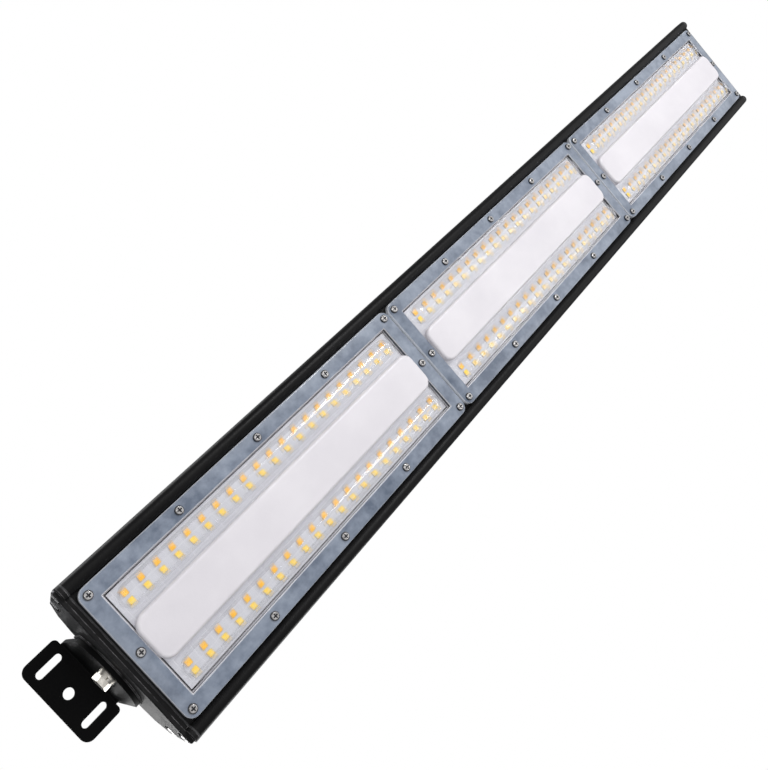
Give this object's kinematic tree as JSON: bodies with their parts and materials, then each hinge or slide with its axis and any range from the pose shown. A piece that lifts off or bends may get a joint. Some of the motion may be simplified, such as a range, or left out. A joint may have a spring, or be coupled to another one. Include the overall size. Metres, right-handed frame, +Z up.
{
  "type": "linear LED high bay light",
  "caption": "Long black linear high bay light with clear ribbed lens modules facing down and a swivelling slotted mounting bracket at each end.",
  "frame": {"origin": "middle of the ceiling plane, on the line between the round holes of the two end brackets", "axes": "+X along the light, +Y across it, +Z up to the ceiling; the lenses face -Z"},
  "size_m": [0.9496, 0.1176, 0.102],
  "materials": {
    "housing": "satin black powder coat on extruded aluminium",
    "cap_black": "satin black powder coat on cast aluminium",
    "bracket_black": "satin black powder coat on folded steel",
    "clear_lens": "clear moulded polycarbonate, frosted on the middle panel",
    "board_white": "white solder mask on a metal-backed board",
    "led_yellow": "yellow phosphor in a white package",
    "screw_steel": "bright nickel plate",
    "bolt_nickel": "bright zinc plate",
    "gasket": "dull black silicone",
    "driver_case": "satin",
    "terminal_plastic": "matt",
    "gland_black": "matt nylon"
  },
  "bodies": {
    "body": {"housing": "housing", "lens_1": "clear_lens", "lens_2": "clear_lens", "lens_3": "clear_lens", "lens_gasket_1": "gasket", "lens_gasket_2": "gasket", "lens_gasket_3": "gasket", "led_board_1": "board_white", "led_board_2": "board_white", "led_board_3": "board_white", "leds_1": "led_yellow", "leds_2": "led_yellow", "leds_3": "led_yellow", "lens_screws_1": "screw_steel", "lens_screws_2": "screw_steel", "lens_screws_3": "screw_steel", "board_screws_1": "screw_steel", "board_screws_2": "screw_steel", "board_screws_3": "screw_steel", "lead_grommet_1": "gasket", "lead_grommet_2": "gasket", "lead_grommet_3": "gasket", "cap_gasket_near": "gasket", "cap_gasket_far": "gasket", "end_cap_near": "cap_black", "end_cap_far": "cap_black", "cap_screws_near": "screw_steel", "cap_screws_far": "screw_steel", "flat_washer_near": "bolt_nickel", "flat_washer_far": "bolt_nickel", "spring_washer_near": "bolt_nickel", "spring_washer_far": "bolt_nickel", "bracket_bolt_near": "bolt_nickel", "bracket_bolt_far": "bolt_nickel", "driver": "driver_case", "driver_screws": "screw_steel", "terminal_block": "terminal_plastic", "terminal_screw": "screw_steel", "gland_washer": "gasket", "gland_body": "gland_black", "gland_nut": "gland_black", "gland_cap": "gland_black", "gland_seal": "gasket"},
    "bracket_near": {"bracket_near": "bracket_black"},
    "bracket_far": {"bracket_far": "bracket_black"}
  },
  "joints": [
    {"name": "bracket_near_swivel", "type": "hinge", "parent": "body", "child": "bracket_near", "pos_m": [-0.4438, 0, -0.067], "axis": [1, 0, 0], "range_deg": [-90, 90]},
    {"name": "bracket_far_swivel", "type": "hinge", "parent": "body", "child": "bracket_far", "pos_m": [0.4438, 0, -0.067], "axis": [1, 0, 0], "range_deg": [-90, 90]}
  ]
}
